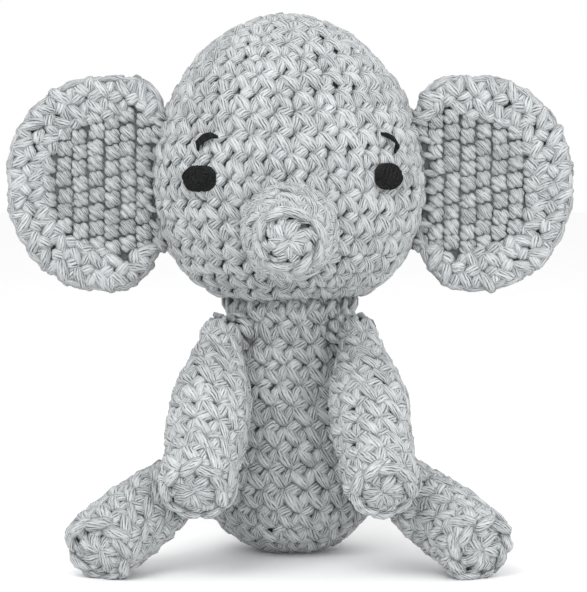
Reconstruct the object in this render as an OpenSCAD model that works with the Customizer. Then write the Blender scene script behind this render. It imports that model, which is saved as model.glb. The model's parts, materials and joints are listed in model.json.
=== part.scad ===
// Crocheted sitting elephant: yarn covers with loose filling, sewn together at the neck,
// shoulders, hips, ears and trunk. It faces -Y, its own left is +X, and it sits on z = 0.

/* [Body] */
// Height of the neck above the seat
neck_h = 68; // [62:1:76]
// Radius of the belly at its widest
belly_r = 25; // [22:0.5:29]
// Height of the widest part of the belly
belly_h = 19.5; // [17:0.5:22]
// Radius of the neck
neck_r = 18; // [16:0.5:20]
// How far the seat is pressed flat by the body's weight
seat_press = 1; // [0.5:0.1:1.4]

/* [Head] */
// Half of the head's width at the cheeks
head_r = 38.4; // [34:0.2:44]
// Height of the crown above the cheeks
crown_rise = 47.5; // [40:0.5:56]
// Depth of the chin below the cheeks
chin_drop = 35; // [32:0.5:40]

/* [Ears] */
// How far an ear stands out from the side of the head
ear_reach = 40; // [34:0.5:48]
// Height of an ear
ear_h = 59.4; // [50:0.5:68]
// Width of the ear's whole oval, a part of which the head hides
ear_w = 52.4; // [50:0.5:60]
// Thickness of an ear's rim
ear_t = 5; // [4:0.2:6]
// Depth of the hollow in an ear's front
ear_dish = 1.4; // [0.6:0.1:2]

/* [Trunk] */
// Radius of the trunk where it is sewn to the head
trunk_root_r = 13; // [10:0.5:14]
// Radius of the trunk a third of the way along
trunk_r = 12.4; // [10:0.1:13]
// Radius of the trunk's tip
trunk_tip_r = 7.8; // [6:0.1:10]
// Length of the trunk in front of its root
trunk_len = 33; // [28:1:44]

/* [Arms] */
// Radius of the arm's gathered root
arm_root_r = 5.5; // [4.5:0.1:6.5]
// Radius of the arm at its fullest
arm_r = 11; // [9:0.1:12.5]
// Radius of the hand
hand_r = 9.8; // [8:0.1:11]
// Length of the arm from its root to the palm
arm_len = 57; // [48:1:62]

/* [Legs] */
// Radius of the leg's gathered root
leg_root_r = 8; // [7:0.1:9.5]
// Radius of the leg
leg_r = 10.3; // [9:0.1:12]
// Length of the leg from its root to the sole
leg_len = 41.5; // [36:0.5:46]

/* [Face] */
// Width of an eye patch
eye_w = 11; // [7:0.1:13]
// Height of an eye patch
eye_h = 7; // [5:0.1:9]
// Thickness of an eye patch
eye_t = 1.2; // [0.8:0.1:1.8]
// Diameter of a brow's thread
brow_d = 1.8; // [1.2:0.1:2.4]

/* [Yarn] */
// Thickness of the crocheted cover of the head and body
cover_wall = 3.5; // [2.5:0.1:4]
// Thickness of the crocheted cover of a limb or the trunk
limb_wall = 3; // [2.2:0.1:3.4]
// Thickness of a sewn seam's yarn
seam_t = 1.2; // [0.8:0.1:1.6]

/* [Hidden] */

yarn_grey = [0.74, 0.76, 0.77];
fill_white = [0.93, 0.93, 0.91];
thread_black = [0.08, 0.08, 0.08];

fill_gap = 0.25;    // between a cover and its filling
joint_gap = 0.3;    // between pieces that move against each other
seat_bend = 12;     // degrees below the neck's centre over which the neck stays round
hole_r = 1.2;       // the last hole at a limb's gathered root
far = 400;          // larger than the toy
$fn = 64;

// Where the parts sit
head_mid = neck_h + chin_drop - 0.5;
shoulder_h = neck_h - 6;
shoulder_turn = 48;                    // degrees from the front
hip_turn = 50;                         // degrees from the front
ball_clear = 2 * joint_gap + seam_t;   // from a root's ball to the body's cover
arm_dip = 44;                          // degrees that the arm points below level
arm_splay = 8;                         // degrees that the arm points outward
leg_dip = 25;                          // degrees that the leg points below level
leg_splay = 42;                        // degrees that the leg points outward
leg_cap = 5;                           // depth of the sole's rounded edge
foot_press = 0.4;                      // how far the heel is pressed flat
hip_h = (leg_len - leg_cap) * sin(leg_dip) + leg_r * 0.97 * cos(leg_dip) - foot_press;
shoulder_out = body_r(shoulder_h) + arm_root_r + ball_clear;
hip_out = body_r(hip_h) + leg_root_r + ball_clear;
trunk_dip = 4;                         // degrees that the trunk points below level
trunk_h = head_mid - 11.5;
trunk_out = head_side(trunk_h) - 1.5;
ear_y = -6;
ear_mid = head_mid + 0.3;
ear_gap = 2.3;                         // from the head to an ear's sewn edge
eye_turn = 41;                         // degrees from the front
eye_up = head_mid + 2;
brow_up = head_mid + 11.5;

// Radius of the body at height z, from the seat to the neck
function waist_z() = neck_h - neck_r * sin(seat_bend);
function waist_r() = neck_r * cos(seat_bend);
function body_r(z) = z < belly_h
    ? belly_r * sqrt(1 - pow((belly_h - z) / (belly_h + seat_press), 2))
    : waist_r() + (belly_r - waist_r()) * (1 + cos(180 * (z - belly_h) / (waist_z() - belly_h))) / 2;

// Body outline, [radius, height], from the seat to an opening of radius open in the neck's dome
function body_outline(in, open) = concat(
    [[0, in]],
    [for (i = [0 : 7]) let (z = belly_h * i / 8) [body_r(z) - in, max(z, in)]],
    [for (i = [0 : 9]) let (z = belly_h + (waist_z() - belly_h) * i / 10) [body_r(z) - in, z]],
    [for (i = [0 : 12])
        let (a = -seat_bend + (acos(open / (neck_r - in)) + seat_bend) * i / 12)
        [(neck_r - in) * cos(a), neck_h + (neck_r - in) * sin(a)]]);

// Superellipse point at angle a
function oval(rx, ry, n, a) = [
    rx * sign(cos(a)) * pow(abs(cos(a)), 2 / n),
    ry * sign(sin(a)) * pow(abs(sin(a)), 2 / n)];

// Head outline, [radius, height], grown by out, from the chin to the crown
function head_outline(out) = concat(
    [for (i = [0 : 11]) let (p = oval(head_r + out, chin_drop + out, 2.3, -90 + 90 * i / 12))
        [max(p[0], 0), head_mid + p[1]]],
    [for (i = [0 : 14]) let (p = oval(head_r + out, crown_rise + out, 2, 90 * i / 14))
        [i == 14 ? 0 : p[0], head_mid + p[1]]]);

// Radius of the head at height z below the cheeks
function head_side(z) =
    head_r * pow(1 - pow((head_mid - z) / chin_drop, 2.3), 1 / 2.3);

function smooth(t) = let (u = min(max(t, 0), 1)) u * u * (3 - 2 * u);
function mix(a, b, t) = a + (b - a) * smooth(t);
function backward(v) = [for (i = [len(v) - 1 : -1 : 0]) v[i]];

// Limb outline, [radius, place along the limb], grown by out. The root is a ball round the
// pivot at 0; the limb swells to full_r at full_at and ends in a flattened cap at length.
function limb_outline(root_r, full_r, full_at, end_r, length, cap, out, open) = concat(
    [for (i = [0 : 8])
        let (r = root_r + out, a = -acos(min(open / r, 1)) * (8 - i) / 8) [r * cos(a), r * sin(a)]],
    [for (i = [1 : 10])
        let (t = (length - cap) * i / 10)
        [(t < full_at ? mix(root_r, full_r, t / full_at)
            : mix(full_r, end_r, (t - full_at) / (length - cap - full_at))) + out, t]],
    [for (i = [1 : 6]) let (p = oval(end_r + out, cap + out, 2.6, 90 * i / 6))
        [i == 6 ? 0 : p[0], length - cap + p[1]]]);

// A shell between two outlines that both run from an open root to a pole on the axis
module shell(outer, inner) {
    rotate_extrude() polygon(concat(outer, backward(inner)));
}

// A band of a hollow ball between two angles from its axis
module ball_band(r_in, r_out, from, to) {
    steps = 8;
    rotate_extrude() polygon(concat(
        [for (i = [0 : steps]) let (a = from + (to - from) * i / steps) r_out * [sin(a), cos(a)]],
        [for (i = [steps : -1 : 0]) let (a = from + (to - from) * i / steps) r_in * [sin(a), cos(a)]]));
}

module mirrored(side) {
    mirror([side < 0 ? 1 : 0, 0, 0]) children();
}

module above_floor() {
    intersection() {
        children();
        translate([-far / 2, -far / 2, 0]) cube(far);
    }
}

module head_form(out) {
    rotate_extrude() polygon(head_outline(out));
}

// Places of the moving parts: each puts its part's own +Z along the limb
module at_shoulder() {
    translate([shoulder_out * sin(shoulder_turn), -shoulder_out * cos(shoulder_turn), shoulder_h]) children();
}

module along_arm() {
    at_shoulder() rotate([0, 0, arm_splay]) rotate([90 + arm_dip, 0, 0]) children();
}

module at_hip() {
    translate([hip_out * sin(hip_turn), -hip_out * cos(hip_turn), hip_h]) children();
}

module along_leg() {
    at_hip() rotate([0, 0, leg_splay]) rotate([90 + leg_dip, 0, 0]) children();
}

module along_trunk() {
    translate([0, -trunk_out, trunk_h]) rotate([90 + trunk_dip, 0, 0]) children();
}

// The hollows that the neck and the trunk's root turn in
module neck_hollow() {
    translate([0, 0, neck_h]) sphere(neck_r + seam_t + 2 * joint_gap);
}

module trunk_hollow() {
    translate([0, -trunk_out, trunk_h]) sphere(trunk_root_r + seam_t + 2 * joint_gap);
}

module body_cover() {
    open = neck_r * 0.62;
    outer = body_outline(0, open);
    inner = body_outline(cover_wall, open);
    color(yarn_grey) rotate_extrude() polygon(concat(outer, backward(inner)));
}

module body_filling() {
    color(fill_white) rotate_extrude() polygon(body_outline(cover_wall + fill_gap, 0));
}

module neck_seam() {
    color(yarn_grey) translate([0, 0, neck_h])
        ball_band(neck_r + joint_gap, neck_r + joint_gap + seam_t, 62, 86);
}

module head_cover() {
    color(yarn_grey) difference() {
        rotate_extrude() polygon(concat(head_outline(0), backward(head_outline(-cover_wall))));
        neck_hollow();
        trunk_hollow();
    }
}

module head_filling() {
    color(fill_white) difference() {
        head_form(-cover_wall - fill_gap);
        neck_hollow();
        trunk_hollow();
    }
}

// A skin on the head's surface, of thickness t
module head_skin(t) {
    difference() {
        head_form(t);
        head_form(0.05);
    }
}

module eye(side) {
    color(thread_black) mirrored(side) intersection() {
        head_skin(eye_t);
        translate([0, 0, eye_up]) rotate([90, 0, eye_turn]) linear_extrude(head_r + far)
            polygon([for (i = [0 : 23]) oval(eye_w / 2, eye_h / 2, 2.2, 15 * i)]);
    }
}

// A curved stitch above the eye, higher at its inner end
module brow(side) {
    half = 4;
    color(thread_black) mirrored(side) intersection() {
        head_skin(brow_d * 0.7);
        translate([0, 0, brow_up]) rotate([90, 0, eye_turn]) linear_extrude(head_r + far)
            rotate(-32) translate([0, -half]) polygon(concat(
                [for (i = [-6 : 6]) (half * 1.25 + brow_d / 2) * [sin(9 * i), cos(9 * i)]],
                [for (i = [6 : -1 : -6]) (half * 1.25 - brow_d / 2) * [sin(9 * i), cos(9 * i)]]));
    }
}

module ear(side) {
    oval_x = head_r + ear_reach - ear_w / 2;
    dish_r = 60;
    color(yarn_grey) mirrored(side) difference() {
        translate([oval_x, ear_y, ear_mid]) rotate([90, 0, 0]) linear_extrude(ear_t, center = true)
            polygon([for (i = [0 : 35]) oval(ear_w / 2, ear_h / 2, 2.05, 10 * i)]);
        head_form(ear_gap);
        translate([oval_x + 5, ear_y - ear_t / 2 - dish_r + ear_dish, ear_mid]) sphere(dish_r);
    }
}

module ear_seam(side) {
    seam_h = ear_h * 0.7;
    color(yarn_grey) mirrored(side) intersection() {
        head_skin(seam_t);
        translate([0, ear_y - 1.5, ear_mid - seam_h / 2]) cube([far, 3, seam_h]);
    }
}

function trunk_line(out, open) =
    limb_outline(trunk_root_r, trunk_r, trunk_len * 0.35, trunk_tip_r, trunk_len, 4, out, open);

module trunk_cover() {
    color(yarn_grey) along_trunk()
        shell(trunk_line(0, trunk_root_r * 0.8), trunk_line(-limb_wall, trunk_root_r * 0.6));
}

module trunk_filling() {
    color(fill_white) along_trunk() rotate_extrude() polygon(trunk_line(-limb_wall - fill_gap, 0));
}

module trunk_seam() {
    color(yarn_grey) along_trunk()
        ball_band(trunk_root_r + joint_gap, trunk_root_r + joint_gap + seam_t, 92, 112);
}

function arm_line(out, open) =
    limb_outline(arm_root_r, arm_r, arm_len * 0.48, hand_r, arm_len, 5, out, open);

module arm_cover(side) {
    color(yarn_grey) mirrored(side) along_arm() shell(arm_line(0, hole_r), arm_line(-limb_wall, hole_r));
}

module arm_filling(side) {
    color(fill_white) mirrored(side) along_arm()
        rotate_extrude() polygon(arm_line(-limb_wall - fill_gap, 0));
}

// The seam lies round the spot where a root's ball meets the body, up to the angle edge from it
module root_seam(root_r, turn, edge) {
    color(yarn_grey) rotate([0, 0, turn]) rotate([-90, 0, 0])
        ball_band(root_r + joint_gap, root_r + joint_gap + seam_t, 18, edge);
}

module arm_seam(side) {
    mirrored(side) at_shoulder() root_seam(arm_root_r, shoulder_turn, 42);
}

function leg_line(out, open) =
    limb_outline(leg_root_r, leg_r, leg_len * 0.6, leg_r * 0.97, leg_len, leg_cap, out, open);

module leg_cover(side) {
    color(yarn_grey) mirrored(side) above_floor() along_leg()
        shell(leg_line(0, hole_r), leg_line(-limb_wall, hole_r));
}

module leg_filling(side) {
    color(fill_white) mirrored(side) along_leg()
        rotate_extrude() polygon(leg_line(-limb_wall - fill_gap, 0));
}

module leg_seam(side) {
    mirrored(side) at_hip() root_seam(leg_root_r, hip_turn, 62);
}

body_cover();
body_filling();
neck_seam();
head_cover();
head_filling();
eye(1);  // left_eye
eye(-1);  // right_eye
brow(1);  // left_brow
brow(-1);  // right_brow
ear(1);  // left_ear
ear(-1);  // right_ear
ear_seam(1);  // left_ear_seam
ear_seam(-1);  // right_ear_seam
trunk_cover();
trunk_filling();
trunk_seam();
arm_cover(1);  // left_arm_cover
arm_filling(1);  // left_arm_filling
arm_seam(1);  // left_arm_seam
arm_cover(-1);  // right_arm_cover
arm_filling(-1);  // right_arm_filling
arm_seam(-1);  // right_arm_seam
leg_cover(1);  // left_leg_cover
leg_filling(1);  // left_leg_filling
leg_seam(1);  // left_leg_seam
leg_cover(-1);  // right_leg_cover
leg_filling(-1);  // right_leg_filling
leg_seam(-1);  // right_leg_seam
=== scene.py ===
"""A sitting elephant in crocheted cotton yarn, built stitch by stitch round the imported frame.

Every cover is worked as a maker would work it: level rounds of single crochet that start
at a magic ring, with the counts of a written pattern. Sizes are in millimetres until they
become meshes, which are in metres.
"""

from __future__ import annotations

import json
import logging
import math
from dataclasses import dataclass, field
from enum import Enum
from typing import Callable, Sequence

import bpy
import numpy as np
from mathutils import Matrix, Vector

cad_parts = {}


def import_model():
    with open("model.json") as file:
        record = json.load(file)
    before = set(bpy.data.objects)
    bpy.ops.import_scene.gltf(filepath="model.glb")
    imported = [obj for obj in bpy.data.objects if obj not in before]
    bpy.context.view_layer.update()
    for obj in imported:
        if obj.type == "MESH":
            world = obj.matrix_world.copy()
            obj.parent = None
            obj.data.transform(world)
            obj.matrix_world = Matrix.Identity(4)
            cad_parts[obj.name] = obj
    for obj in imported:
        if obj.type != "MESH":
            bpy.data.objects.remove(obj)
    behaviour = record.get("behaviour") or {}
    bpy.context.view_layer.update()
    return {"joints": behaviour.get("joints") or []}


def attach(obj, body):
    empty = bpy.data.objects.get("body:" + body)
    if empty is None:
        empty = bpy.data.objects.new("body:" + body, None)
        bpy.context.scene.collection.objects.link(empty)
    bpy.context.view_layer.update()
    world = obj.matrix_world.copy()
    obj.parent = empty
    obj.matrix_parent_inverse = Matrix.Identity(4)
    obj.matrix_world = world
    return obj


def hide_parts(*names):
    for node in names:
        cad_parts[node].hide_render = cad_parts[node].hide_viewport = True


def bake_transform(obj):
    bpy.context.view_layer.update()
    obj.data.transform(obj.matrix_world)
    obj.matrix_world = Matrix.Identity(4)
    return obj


LOG = logging.getLogger("elephant")
Array = np.ndarray
Triple = tuple[float, float, float]
Socket = bpy.types.NodeSocket
MM = 0.001
TURN = 2 * math.pi
UP = np.array([0.0, 0.0, 1.0])
STITCH = 5.9  # width and height of one single crochet
RING_SIZE = (5.8, 7.2, 5.4)  # width, height and depth of a magic ring's wedges
RING_AT = 3.0  # where the wedges' middles lie
RING_COUNT = 6  # how many wedges
FIRST_ROUND = 8.3  # where the first round after a magic ring lies
NECK_SIZE = (5.2, 5.0, 4.6)  # a whip stitch at the neck
ROOT_SIZE = (4.2, 4.6, 4.2)  # a whip stitch at the trunk
SEAM_SIZE = (4.6, 4.4, 4.2)  # a whip stitch at an ear
CHAIN_SIZE = (5.4, 5.0)  # height and depth of a loop at an ear's edge
FLOOR_GAP = 0.05  # how far the seat stays above the floor
LINED = 0.55  # how far the lining lies under the stitches
STEP = 0.5  # half the step over which an edge's direction is measured


class Side(Enum):
    """The toy's own left and right."""

    LEFT = 1
    RIGHT = -1

    @property
    def word(self) -> str:
        """The side's name in lower case."""
        return self.name.lower()


class Kind(Enum):
    """The ways in which a bit of yarn shows on the surface."""

    SINGLE = "single_crochet"
    BRIDGE = "crossing_strand"
    WEDGE = "ring_wedge"
    LOOP = "free_loop"
    WHIP = "whip_stitch"
    BACK = "flat_row"


# ---------------------------------------------------------------------------- lines


def smooth(t: float) -> float:
    """A soft step from 0 to 1."""
    u = min(max(t, 0.0), 1.0)
    return u * u * (3 - 2 * u)


def unit(v: Array) -> Array:
    """A vector's direction."""
    return v / max(np.linalg.norm(v), 1e-9)


def along(line: Array) -> Array:
    """How far along a line each of its points lies."""
    return np.concatenate([[0.0], np.cumsum(np.linalg.norm(np.diff(line, axis=0), axis=1))])


def ways(line: Array) -> Array:
    """A line's direction at each of its points."""
    way = np.gradient(line, axis=0)
    return way / np.linalg.norm(way, axis=1)[:, None]


def drawn_in(line: Array, inset: float, hand: int) -> Array:
    """Move a profile inward, to where the fabric's stitches lie.

    Args:
        line: Points (radius, place along the axis).
        inset: How far inward.
        hand: 1 if the work grows along the axis, -1 if it grows against it.

    Returns:
        The new points.
    """
    way = ways(line)
    line = line - inset * hand * np.stack([way[:, 1], -way[:, 0]], 1)
    line[:, 0] = np.maximum(line[:, 0], 0.0)
    return line


def bands(count: int, spokes: int, first: int = 0) -> list[list[int]]:
    """The faces between rings of corners that follow each other.

    Args:
        count: How many bands of faces.
        spokes: Corners in each ring.
        first: Index of the first corner.

    Returns:
        Faces as corner indices.
    """
    faces = []
    for i in range(count):
        for k in range(spokes):
            a, b = first + i * spokes + k, first + i * spokes + (k + 1) % spokes
            faces.append([a, b, b + spokes, a + spokes])
    return faces


def direction(turn: float, dip: float, side: float = 1.0) -> Array:
    """The way that something points.

    Args:
        turn: Degrees outward from the front.
        dip: Degrees below level.
        side: 1 to the toy's left, -1 to its right.

    Returns:
        The direction.
    """
    a, d = math.radians(turn), math.radians(dip)
    return np.array([side * math.sin(a) * math.cos(d), -math.cos(a) * math.cos(d), -math.sin(d)])


# ---------------------------------------------------------------------------- finishes


class Tree:
    """A node tree, with short ways to add nodes and feed them."""

    def __init__(self, tree: bpy.types.NodeTree) -> None:
        """Take up a node tree."""
        self.tree = tree

    def feed(self, socket: Socket, value: object) -> None:
        """Join a socket to an input, or set the input's own value.

        Args:
            socket: The input.
            value: A socket or a plain value.
        """
        if isinstance(value, Socket):
            self.tree.links.new(value, socket)
        else:
            socket.default_value = value

    def node(self, kind: str, inputs: dict | None = None, **settings: object) -> bpy.types.Node:
        """Add a node.

        Args:
            kind: The node's type name.
            inputs: Sockets or plain values, by the input's name or number.
            **settings: Properties of the node.

        Returns:
            The new node.
        """
        made = self.tree.nodes.new(kind)
        for name, value in settings.items():
            setattr(made, name, value)
        for place, value in (inputs or {}).items():
            self.feed(made.inputs[place], value)
        return made


class Shader(Tree):
    """A material's node tree."""

    def __init__(self, name: str) -> None:
        """Start a material that has only its output and its main shader.

        Args:
            name: The material's name.
        """
        self.material = bpy.data.materials.new(name)
        self.material.use_nodes = True
        super().__init__(self.material.node_tree)
        self.main = self.tree.nodes["Principled BSDF"]

    def math(self, operation: str, *values: object) -> Socket:
        """A math node's result, fed by sockets and plain numbers in order."""
        return self.node("ShaderNodeMath", dict(enumerate(values)), operation=operation).outputs[0]

    def total(self, *terms: tuple[Socket, float]) -> Socket:
        """Add up sockets, each times its own number.

        Args:
            *terms: Sockets and their numbers.

        Returns:
            The sum's socket.
        """
        parts = [self.math("MULTIPLY", value, weight) for value, weight in terms]
        sum_so_far = parts[0]
        for part in parts[1:]:
            sum_so_far = self.math("ADD", sum_so_far, part)
        return sum_so_far

    def blend(self, factor: Socket, first: Triple, second: Triple) -> Socket:
        """Mix two colours.

        Args:
            factor: Share of the second colour.
            first: The first colour.
            second: The second colour.

        Returns:
            The mixed colour's socket.
        """
        inputs = {"Factor": factor, 6: (*first, 1.0), 7: (*second, 1.0)}
        return self.node("ShaderNodeMix", inputs, data_type="RGBA").outputs[2]

    def noise(self, scale: float, detail: float = 3.0) -> Socket:
        """Noise on the object's own coordinates.

        Args:
            scale: The noise's scale per metre.
            detail: The noise's detail.

        Returns:
            The noise's value socket.
        """
        place = self.node("ShaderNodeTexCoord").outputs["Object"]
        inputs = {"Scale": scale, "Detail": detail, "Vector": place}
        return self.node("ShaderNodeTexNoise", inputs).outputs["Fac"]

    def ramp(self, value: Socket, low: float, high: float) -> Socket:
        """Stretch a value so that low becomes 0 and high becomes 1."""
        inputs = {"Value": value, "From Min": low, "From Max": high}
        return self.node("ShaderNodeMapRange", inputs).outputs["Result"]

    def dressed(self, colour: Socket, **settings: float) -> bpy.types.Material:
        """Give the main shader its colour and its plain settings.

        Args:
            colour: The colour.
            **settings: Numbers, by the input's name with low lines for its spaces.

        Returns:
            The material.
        """
        self.feed(self.main.inputs["Base Color"], colour)
        for name, value in settings.items():
            self.feed(self.main.inputs[name.replace("_", " ")], value)
        return self.material

    def bump(self, height: Socket, strength: float, relief: float) -> None:
        """Raise the surface.

        Args:
            height: How high each place stands.
            strength: The relief's strength, from 0 to 1.
            relief: The greatest height, in metres.
        """
        made = self.node("ShaderNodeBump", {"Strength": strength, "Distance": relief, "Height": height})
        self.feed(self.main.inputs["Normal"], made.outputs[0])


@dataclass(frozen=True)
class YarnFinish:
    """Plied cotton: fine threads laid side by side with a slight twist and a little fuzz.

    Attributes:
        name: The material's name.
        light: The yarn's colour in the light.
        shade: The colour mixed in for painted shade in the grooves, on the underside and where fibres part,
            and for darker stitches, fibres and patches.
        plies: Threads round the yarn.
        twist: Turns of the threads along one stitch.
        wander: How far threads stray, in threads.
        relief: Height of the threads, in metres.
        sheen: Strength of the fuzz's pale edge.
        roughness: The surface's roughness.
        gloss: Strength of its shine.
        fibre_run: Fibres to a thread, and their slant and length along the yarn.
        groove: Painted shade in every groove, and what an open groove adds.
        under: Painted shade on the yarn's underside.
        open_shade: Painted shade where the fibres part.
        tone_shade: The most that one stitch is darker than another.
        fibre_shade: Shade of the finest fibres.
        cloud_shade: Shade of the wide uneven patches.
        lift: What lightens everything evenly.
        scales: Scale per metre of the threads' wander, the finest fibres and the wide patches.
        variety: How far apart in the fibres' pattern two stitches may be.
        parting: Pattern values between which the fibres part and close.
        flank: Where round the yarn its underside begins and is deepest, as sines.
        heights: How far threads, finest fibres and parted fibres raise the surface.
        strength: The relief's strength, from 0 to 1.
        fuzz: The roughness of the fuzz.
    """

    name: str
    light: Triple
    shade: Triple
    plies: float = 13.0
    twist: float = 2.0
    wander: float = 0.9
    relief: float = 0.00022
    sheen: float = 0.3
    roughness: float = 0.9
    gloss: float = 0.06
    fibre_run: Triple = (1.7, 1.2, 1.6)
    groove: tuple[float, float] = (0.25, 1.25)
    under: float = 0.3
    open_shade: float = 0.22
    tone_shade: float = 0.16
    fibre_shade: float = 0.22
    cloud_shade: float = 0.16
    lift: float = 0.12
    scales: Triple = (900.0, 5200.0, 60.0)
    variety: float = 41.0
    parting: tuple[float, float] = (0.36, 0.56)
    flank: tuple[float, float] = (0.6, -0.2)
    heights: Triple = (0.7, 0.4, 0.6)
    strength: float = 0.9
    fuzz: float = 0.45

    def material(self) -> bpy.types.Material:
        """Build the finish; it reads the strand's own UV map and its tone.

        Returns:
            The material.
        """
        s = Shader(self.name)
        strand = s.node("ShaderNodeUVMap", uv_map="strand").outputs[0]
        parts = s.node("ShaderNodeSeparateXYZ", {0: strand})
        around, length = parts.outputs[0], parts.outputs[1]
        tone = s.node("ShaderNodeAttribute", attribute_name="tone").outputs["Fac"]
        stray, finest, patches = self.scales
        turn = s.total((around, self.plies), (length, self.twist), (s.noise(stray, 2.0), self.wander))
        ply = s.math("ABSOLUTE", s.math("SINE", s.math("MULTIPLY", turn, math.pi)))
        hollow = s.math("SUBTRACT", 1.0, s.math("POWER", ply, 0.5))
        fine, slant, long = self.fibre_run
        lay = s.node("ShaderNodeCombineXYZ", {
            0: s.total((around, fine * self.plies), (length, slant)),
            1: s.math("MULTIPLY", length, long),
            2: s.math("MULTIPLY", tone, self.variety),
        }).outputs[0]
        streak = s.node("ShaderNodeTexNoise", {"Scale": 1.0, "Detail": 4.0, "Roughness": 0.6, "Vector": lay})
        thread = s.ramp(streak.outputs["Fac"], *self.parting)
        gap = s.math("SUBTRACT", 1.0, thread)
        fibre = s.noise(finest, 4.0)
        flank = s.ramp(s.math("SINE", s.math("MULTIPLY", around, TURN)), *self.flank)
        deep = s.math("ADD", self.groove[0], s.math("MULTIPLY", gap, self.groove[1]))
        # darker: painted shade in the grooves, on the underside and where fibres part, plus each stitch's,
        # fibre's and patch's own darker tone
        darker = s.total(
            (s.math("MULTIPLY", hollow, deep), 1.0),
            (flank, self.under),
            (gap, self.open_shade),
            (tone, self.tone_shade),
            (fibre, self.fibre_shade),
            (s.noise(patches, 2.0), self.cloud_shade),
        )
        s.bump(s.total(*zip((ply, fibre, thread), self.heights)), self.strength, self.relief)
        return s.dressed(
            s.blend(s.math("SUBTRACT", darker, self.lift), self.light, self.shade),
            Roughness=self.roughness,
            Specular_IOR_Level=self.gloss,
            Sheen_Weight=self.sheen,
            Sheen_Roughness=self.fuzz,
        )


@dataclass(frozen=True)
class LiningFinish:
    """The inner side of the fabric, seen only between stitches; its dark colours are painted shade for the
    holes between them.
    """

    name: str
    # light and shade: the lining's two dark colours, painted shade for the holes between stitches, not the
    # yarn's own grey
    light: Triple
    shade: Triple
    weave: float = 1400.0
    strength: float = 0.7
    relief: float = 0.0004
    roughness: float = 0.95
    sheen: float = 0.1

    def material(self) -> bpy.types.Material:
        """Build the finish.

        Returns:
            The material.
        """
        s = Shader(self.name)
        weave = s.noise(self.weave, 4.0)
        s.bump(weave, self.strength, self.relief)
        colour = s.blend(weave, self.shade, self.light)
        return s.dressed(colour, Roughness=self.roughness, Sheen_Weight=self.sheen)


@dataclass(frozen=True)
class FloorFinish:
    """A matt, nearly white floor."""

    name: str = "pale floor"
    light: Triple = (0.97, 0.97, 0.97)
    shade: Triple = (0.94, 0.94, 0.945)
    grain: float = 40.0
    roughness: float = 0.9
    gloss: float = 0.1

    def material(self) -> bpy.types.Material:
        """Build the finish.

        Returns:
            The material.
        """
        s = Shader(self.name)
        colour = s.blend(s.noise(self.grain), self.light, self.shade)
        return s.dressed(colour, Roughness=self.roughness, Specular_IOR_Level=self.gloss)


# ---------------------------------------------------------------------------- yarn shapes


@dataclass
class Strand:
    """A bit of yarn that rises out of the fabric and dives back in.

    Attributes:
        path: Centre line points in stitch units (across, along the work, outward).
        radius: The yarn's radius at each point.
        flat: Height of the section over its width.
        sides: Corners of the section.
    """

    path: Sequence[Triple]
    radius: Sequence[float]
    flat: float = 0.9
    sides: int = 6

    def outward(self, place: Array) -> Array:
        """The way out of the fabric at a place."""
        return UP

    def marks(self, line: Array) -> Array:
        """The strand coordinate of each point of its line."""
        return along(line)

    def mesh(self, first: int) -> tuple[list[Triple], list[list[int]], list[tuple[float, float]]]:
        """Corners, faces and strand coordinates of this bit of yarn.

        Args:
            first: Index of the first corner.

        Returns:
            Corners, faces as corner indices, and the faces' coordinates in order.
        """
        line = np.array(self.path, float)
        n, bends, marks = self.sides, len(line) - 1, self.marks(line)
        corners = []
        for place, way, radius in zip(line, ways(line), self.radius):
            across = unit(np.cross(way, self.outward(place)))
            out = np.cross(across, way)
            for a in (TURN * k / n for k in range(n)):
                turned = math.cos(a) * across + self.flat * math.sin(a) * out
                corners.append(tuple(place + radius * turned))
        coords = []
        for near, far in zip(marks, marks[1:]):
            for k in range(n):
                coords += [(k / n, near), ((k + 1) / n, near), ((k + 1) / n, far), (k / n, far)]
        coords += [(0.0, marks[0])] * n + [(0.0, marks[-1])] * n
        start, end = list(range(first, first + n)), list(range(first + bends * n, first + bends * n + n))
        return corners, bands(bends, n, first) + [start[::-1], end], coords


@dataclass
class FaceThread(Strand):
    """A fine thread on the face: its sections stand square to the head, and it is in metres."""

    def outward(self, place: Array) -> Array:
        """The head's outward direction at a place."""
        return unit(np.array([place[0], place[1], 0.15 * (place[2] - 0.1)]))

    def marks(self, line: Array) -> Array:
        """Even marks, a thread's points being evenly set."""
        return 0.4 * np.arange(len(line))


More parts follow.
